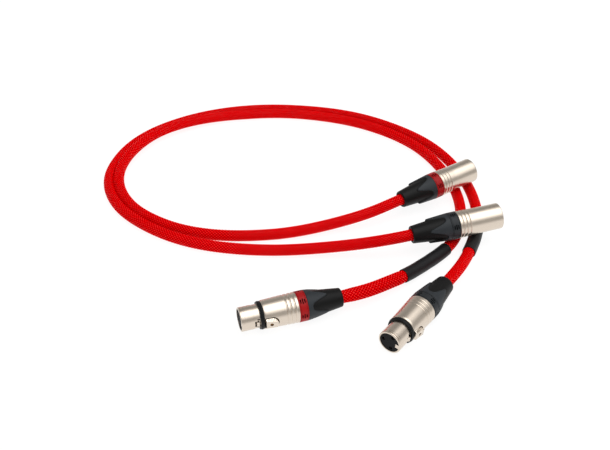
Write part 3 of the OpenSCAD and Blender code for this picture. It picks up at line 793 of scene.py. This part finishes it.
def carve_tongues(boot, from_x, to_x, r, tip, tip_r):
    """Lowers the wall between four tongues, and marks how deep each point lies."""
    core, wall = (from_x, r - SCALLOP_DEPTH, to_x, BOOT_R), (from_x, r, tip, tip_r)
    front = from_x + SCALLOP_START
    mesh = boot.data
    panel = np.zeros(len(mesh.vertices), np.float32)
    for v in mesh.vertices:
        x, radius = v.co.x / MM, math.hypot(v.co.y, v.co.z) / MM
        if x > tip + 0.6:
            panel[v.index] = 1
            continue
        if radius < line_r(core, x) + 0.1:
            continue
        offset = abs((math.degrees(math.atan2(-v.co.y, v.co.z)) + 45) % 90 - 45)
        swing = (1 - math.cos(math.radians(4 * offset))) / 2
        edge = front + (tip - front) * swing**1.6
        slope = (tip - front) * 1.6 * swing**0.6 * 2 * math.sin(math.radians(4 * offset)) / radius
        inside = (x - edge) / math.sqrt(1 + slope * slope)
        step = min(1.0, max(0.0, inside / 0.9 + 0.5))
        depth = step * step * (3 - 2 * step)
        scale = 1 - depth * (1 - line_r(core, x) / line_r(wall, x))
        v.co.y *= scale
        v.co.z *= scale
        panel[v.index] = depth
    mesh.attributes.new("panel", "FLOAT", "POINT").data.foreach_set("value", panel)


def boot(name, from_x, to_x, r, tip, tip_r):
    core, wall = (from_x, r - SCALLOP_DEPTH, to_x, BOOT_R), (from_x, r, tip, tip_r)
    outer = [(line_r(wall, x), x) for x in np.arange(from_x + 0.45, tip + 0.6, 0.2).tolist()]
    outer += [(line_r(core, x), x) for x in np.arange(tip + 0.62, to_x - 1, 2).tolist()]
    lip = [
        (line_r(core, to_x - 0.9) - 0.9 * (1 - math.cos(math.radians(a))),
         to_x - 0.9 + 0.9 * math.sin(math.radians(a)))
        for a in range(0, 91, 15)
    ]
    profile = [
        (NECK_BORE, from_x + 0.05), (r - 0.2, from_x + 0.05), (r - 0.04, from_x + 0.15), *outer, *lip,
        (5.25, to_x), (5.02, to_x - 0.08), (4.9, to_x - 0.3), (4.35, to_x - 1.2),
        (4.35, from_x + 14.4), (NECK_BORE, from_x + 6.4),
    ]
    piece = turned(name, profile, 256)
    carve_tongues(piece, from_x, to_x, r, tip, tip_r)
    smooth(piece, 80)
    keep_own_place(piece)
    return piece


def rubber_ring():
    bore, start, width = 7.86, 12.52, 2.42
    profile = [(bore, start)]
    for k in range(25):
        swing = abs(math.cos(math.radians(7.5 * k)))
        profile.append((9.5 - 0.525 * swing + 0.175 * swing**2, start + width * k / 24))
    profile.append((bore, start + width))
    ring = turned("rubber_ring", profile, 96)
    smooth(ring, 35)
    keep_own_place(ring)
    return ring


# ---------------------------------------------------------------- latch

PIVOT = (26.5, 0, 5.5)
BUTTON_START, BUTTON_END, BUTTON_HALF = 15.6, 23.7, 3.55
DIMPLE_X, DIMPLE_R = 18.9, 1.15
SPRING_X, SPRING_LOW, SPRING_RISE = 18, 1.65, 3.77
SPRING_R, WIRE_R = 1.15, 0.2


def latch():
    """Finger button, arm and hook, from a profile in the middle plane and softened edges."""
    arm = block("arm", (9.6, -2, 5.7), (PIVOT[0], 2, 6.3))
    hook = prism("hook", [
        (9.6, -1.6, 5.7), (11.4, -1.6, 5.7), (11.4, -1.6, 8.5), (10.6, -1.6, 8.5), (9.6, -1.6, 7.4),
    ], (0, 3.2, 0))
    eye = rod("eye", 1.1, 4, PIVOT, (math.pi / 2, 0, 0))
    post = block("post", (16.2, -2, 6.2), (22.3, 2, 7.9))
    button = prism("button", slot_outline(BUTTON_START, BUTTON_END, BUTTON_HALF, 7.8), (0, 0, 4.6))
    side = prism("side", [
        (15, -6, 7.0), (BUTTON_START, -6, 10.2), (15.9, -6, 10.5), (22.4, -6, 11.6), (BUTTON_END, -6, 10.4),
        (24.7, -6, 10.3), (24.7, -6, 7.0),
    ], (0, 12, 0))
    fit(button, side, "INTERSECT")
    front = prism("front", [
        (15, -3.6, 7.0), (15, 3.6, 7.0), (15, 3.6, 8.7), (15, 2.7, 10.9), (15, 2.2, 12.6),
        (15, -2.2, 12.6), (15, -2.7, 10.9), (15, -3.6, 8.7),
    ], (11, 0, 0))
    fit(button, front, "INTERSECT")
    ribs = []
    for flank in (-1, 1):
        for n in range(6):
            x = 16.9 + n
            y = flank * 3.3
            ribs.append(block("rib", (x - 0.2, y - 0.65, 9.0), (x + 0.2, y + 0.65, 11.4)))
    fit(button, joined("ribs", ribs), "DIFFERENCE")
    dimple = rod("dimple", DIMPLE_R, 1.2, (DIMPLE_X, 0, 10.95), (0, math.radians(-9), 0))
    fit(button, dimple, "DIFFERENCE")
    soften(button, 0.1)
    for part in (arm, hook, post):
        soften(part, 0.06)
    piece = arm
    for part in (hook, eye, post, button):
        fit(piece, part, "UNION")
    fit(piece, rod("pivot_hole", 0.65, 12, PIVOT, (math.pi / 2, 0, 0)), "DIFFERENCE")
    piece.name = piece.data.name = "latch"
    # The dimple is marked as a hollow, for painted shade.
    shade_hollows(piece, lambda x, y, z: math.hypot(x - DIMPLE_X, y) < 1.3 and 9.8 < z < 10.75)
    smooth(piece)
    keep_own_place(piece)
    return piece


def coil_spring():
    turns, steps, sides = 4, 20, 10
    points, quads = [], []
    total = turns * steps
    for n in range(total + 1):
        a = 2 * math.pi * n / steps
        z = SPRING_LOW + SPRING_RISE * n / total
        for k in range(sides):
            b = 2 * math.pi * k / sides
            r = SPRING_R + WIRE_R * math.cos(b)
            points.append((SPRING_X + r * math.cos(a), r * math.sin(a), z + WIRE_R * math.sin(b)))
    for n in range(total):
        for k in range(sides):
            a, b = n * sides + k, n * sides + (k + 1) % sides
            quads.append((b, a, a + sides, b + sides))
    quads.append(tuple(range(sides)))
    quads.append(tuple(total * sides + k for k in range(sides))[::-1])
    piece = piece_from("spring", np.array(points) * MM, quads)
    keep_own_place(piece)
    return piece


# ---------------------------------------------------------------- connectors laid in place

shell_m, shell_f = male_shell(), female_shell()
ring_m = coding_ring("male_ring", MALE_RING, MALE_BOOT, 10.05)
ring_f = coding_ring("female_ring", FEMALE_RING, FEMALE_BOOT, 10.3)
bead_ring, finger_latch, small_spring = rubber_ring(), latch(), coil_spring()
boot_m = boot("male_boot", MALE_BOOT, MALE_END, 10, MALE_END - 12.2, 8.85)
boot_f = boot("female_boot", FEMALE_BOOT, FEMALE_END, 10.3, FEMALE_END - 11, 8.55)
BOOT_TURNS = {"red_male": 9, "black_male": -12, "red_female": 61, "black_female": -4}
patterns = [shell_m, shell_f, ring_m, ring_f, boot_m, boot_f, bead_ring, finger_latch, small_spring]

for colour, ring_finish, ring_slot in (
    ("red", red_ring_plastic, "red_ring_plastic"), ("black", black_ring_plastic, "black_ring_plastic"),
):
    for kind in ("male", "female"):
        base = colour + "_" + kind
        place = PLACES[base]
        shell, ring = (shell_m, ring_m) if kind == "male" else (shell_f, ring_f)
        lay(shell, base + "_turned_shell", place, "root", base + "_shell", satin_nickel)
        lay(ring, base + "_slotted_ring", place, "root", base + "_coding_ring", ring_finish)
        grip = boot_m if kind == "male" else boot_f
        lay(grip, base + "_grip_boot", place, "root", base + "_boot", charcoal_boot,
            BOOT_TURNS[base])
    base = colour + "_female"
    place = PLACES[base]
    lay(bead_ring, base + "_bead_ring", place, "root", base + "_rubber_ring", black_rubber)
    lay(finger_latch, base + "_finger_latch", place, colour + "_latch", base + "_latch",
        latch_nickel)
    spring = lay(small_spring, base + "_coil_spring", place, "root", base + "_latch_spring",
                 spring_steel)
    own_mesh(spring)

for pattern in patterns:
    bpy.data.objects.remove(pattern)

CAD_FINISHES = {
    "_insert": black_plastic, "_contact_pins": silver_contact, "_contact_sockets": silver_contact,
    "_chuck": black_plastic, "_conductors": core_insulation, "_latch_pin": spring_steel,
    "_ground_spring": strip_nickel,
}
for name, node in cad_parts.items():
    for ending, finish in CAD_FINISHES.items():
        if name.endswith(ending):
            for slot in node.material_slots:
                slot.material = finish

# ---------------------------------------------------------------- floor and light

GLOW_FROM, GLOW = (0.30, -0.14, 0.943), 1.45  # where the soft glow overhead is, and how bright


def make_floor():
    clear_selection()
    bpy.ops.mesh.primitive_plane_add(size=6, location=(0, 0, -0.0001))
    floor = bpy.context.object
    floor.name = "floor"
    bpy.ops.object.transform_apply(location=True)
    material, tree, shader = new_finish("pale_floor")
    shader.inputs["Base Color"].default_value = (0.16, 0.16, 0.16, 1)
    shader.inputs["Roughness"].default_value = 1.0
    shader.inputs["Specular IOR Level"].default_value = 0.0
    shader.inputs["Emission Color"].default_value = (1, 1, 1, 1)
    shader.inputs["Emission Strength"].default_value = 0.90
    floor.data.materials.append(material)


def soft_light(name, place, target, size, power):
    data = bpy.data.lights.new(name, "AREA")
    data.shape = "RECTANGLE"
    data.size, data.size_y = size
    data.energy = power
    lamp = bpy.data.objects.new(name, data)
    lamp.location = place
    lamp.rotation_mode = "QUATERNION"
    lamp.rotation_quaternion = (Vector(target) - Vector(place)).to_track_quat("-Z", "Y")
    bpy.context.scene.collection.objects.link(lamp)


def make_surroundings():
    world = bpy.data.worlds.new("studio")
    world.use_nodes = True
    bpy.context.scene.world = world
    tree = world.node_tree
    sky = tree.nodes["Background"]
    direction = add(tree, "ShaderNodeTexCoord").outputs["Generated"]
    parts = add(tree, "ShaderNodeSeparateXYZ", {"Vector": direction})
    ramp = add(tree, "ShaderNodeValToRGB", {"Fac": spread(tree, parts.outputs["Z"], 0, 1, -1, 1)})
    stops = ramp.color_ramp.elements
    stops[0].position, stops[0].color = 0.49, (0.9, 0.9, 0.9, 1)
    stops[1].position, stops[1].color = 1.0, (0.6, 0.6, 0.6, 1)
    for position, level in ((0.50, 0.62), (0.58, 0.50), (0.70, 0.40), (0.85, 0.28), (0.95, 0.40)):
        stop = stops.new(position)
        stop.color = (level, level * 0.99, level * 0.97, 1)
    toward = add(tree, "ShaderNodeVectorMath", {0: direction, 1: GLOW_FROM}, operation="DOT_PRODUCT")
    glow = add(tree, "ShaderNodeMapRange", {
        "Value": toward.outputs["Value"], "From Min": 0.68, "From Max": 0.96, "To Min": 0, "To Max": GLOW,
    }, interpolation_type="SMOOTHSTEP")
    total = add(tree, "ShaderNodeVectorMath", {0: ramp.outputs["Color"], 1: glow.outputs["Result"]})
    tree.links.new(total.outputs["Vector"], sky.inputs["Color"])
    sky.inputs["Strength"].default_value = 1.0


make_floor()
soft_light("overhead_softbox", (0.12, -0.16, 1.2), (0.12, -0.15, 0), (1.3, 1.1), 2.5)
make_surroundings()
